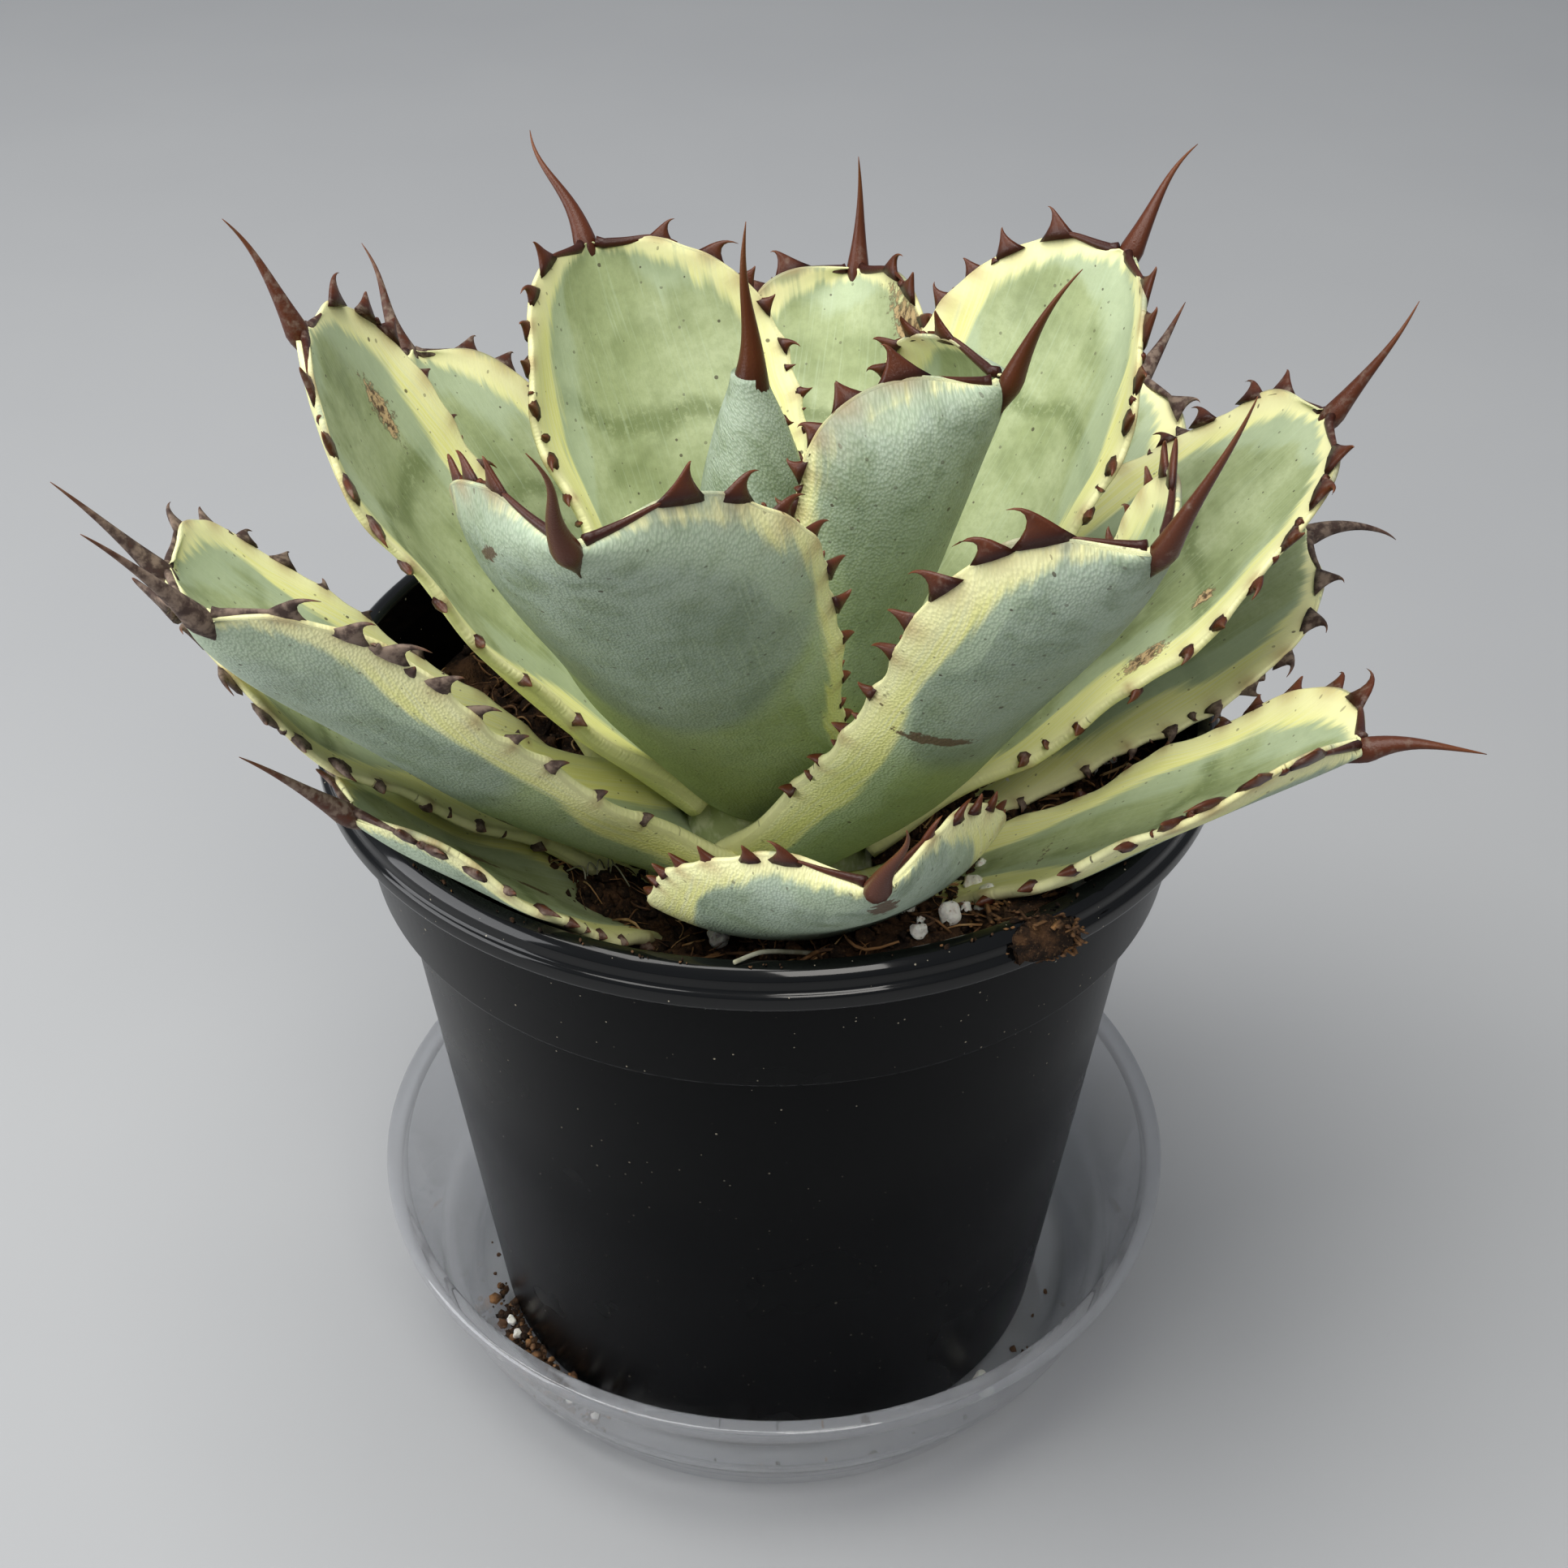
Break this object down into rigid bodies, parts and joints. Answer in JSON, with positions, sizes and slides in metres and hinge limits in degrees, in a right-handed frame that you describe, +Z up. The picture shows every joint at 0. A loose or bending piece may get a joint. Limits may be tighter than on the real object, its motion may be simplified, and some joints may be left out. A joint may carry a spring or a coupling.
{
  "type": "potted ice queen agave",
  "caption": "Variegated agave rosette with toothed, cupped leaves and dark spines, in a round black nursery pot of soil on a clear plastic saucer.",
  "frame": {"origin": "on the pot's axis, at the flat underside of the saucer", "axes": "+Z up, +Y away from the front of the picture, +X to its right"},
  "size_m": [0.2134, 0.1854, 0.2316],
  "materials": {
    "clear_plastic": "clear thermoformed plastic, glossy, with drips of soil and faint scuffs",
    "black_plastic": "black injection-moulded polypropylene, satin body and glossy rim, dusty",
    "soil": "dark brown peat and coir with white perlite, matt",
    "stem": "pale green fibrous leaf bases, matt",
    "leaf": "blue-green waxy bloom with creamy yellow margins and dark red-brown teeth and spine, satin"
  },
  "bodies": {
    "root": {"saucer": "clear_plastic", "pot": "black_plastic", "soil": "soil", "stem": "stem", "bud": "leaf", "leaf_01": "leaf", "leaf_02": "leaf", "leaf_03": "leaf", "leaf_04": "leaf", "leaf_05": "leaf", "leaf_06": "leaf", "leaf_07": "leaf", "leaf_08": "leaf", "leaf_09": "leaf", "leaf_10": "leaf", "leaf_11": "leaf", "leaf_12": "leaf", "leaf_13": "leaf", "leaf_14": "leaf", "leaf_15": "leaf", "leaf_16": "leaf", "leaf_17": "leaf", "leaf_18": "leaf"}
  },
  "joints": []
}
